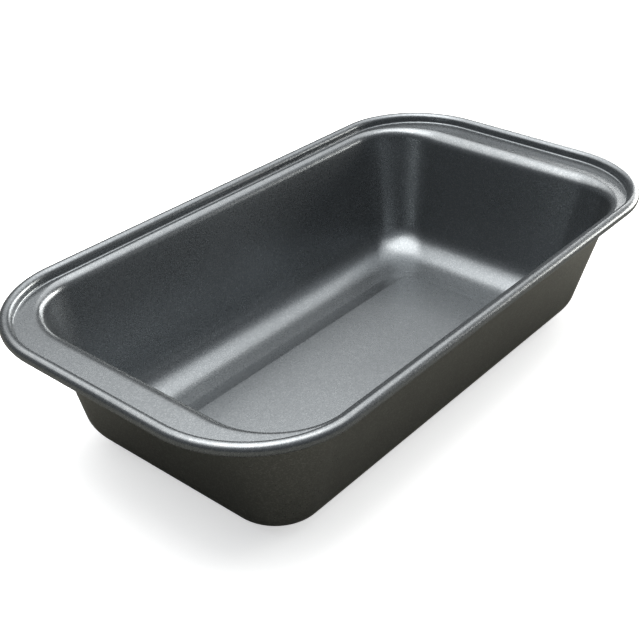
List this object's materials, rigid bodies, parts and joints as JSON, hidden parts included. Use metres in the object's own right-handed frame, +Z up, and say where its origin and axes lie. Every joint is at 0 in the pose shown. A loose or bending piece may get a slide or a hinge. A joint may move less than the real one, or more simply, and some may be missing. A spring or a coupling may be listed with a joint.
{
  "type": "loaf pan",
  "caption": "Rectangular loaf pan with drafted walls, generous base fillets, a raised base panel, wide end flanges and a rolled rim.",
  "frame": {"origin": "centre of the footprint, on the surface that the pan stands on", "axes": "+X along the length, +Y across the width, +Z up out of the open top"},
  "size_m": [0.28, 0.1532, 0.065],
  "materials": {
    "outer_coat": "satin warm grey baked coating on drawn carbon steel, with a fine grain",
    "release_coat": "satin dark blue-grey release coating with fine metallic flecks",
    "wire_steel": "drawn bright steel wire"
  },
  "bodies": {
    "root": {"pan_shell": "outer_coat", "release_coating": "release_coat", "rim_wire": "wire_steel"}
  },
  "joints": []
}
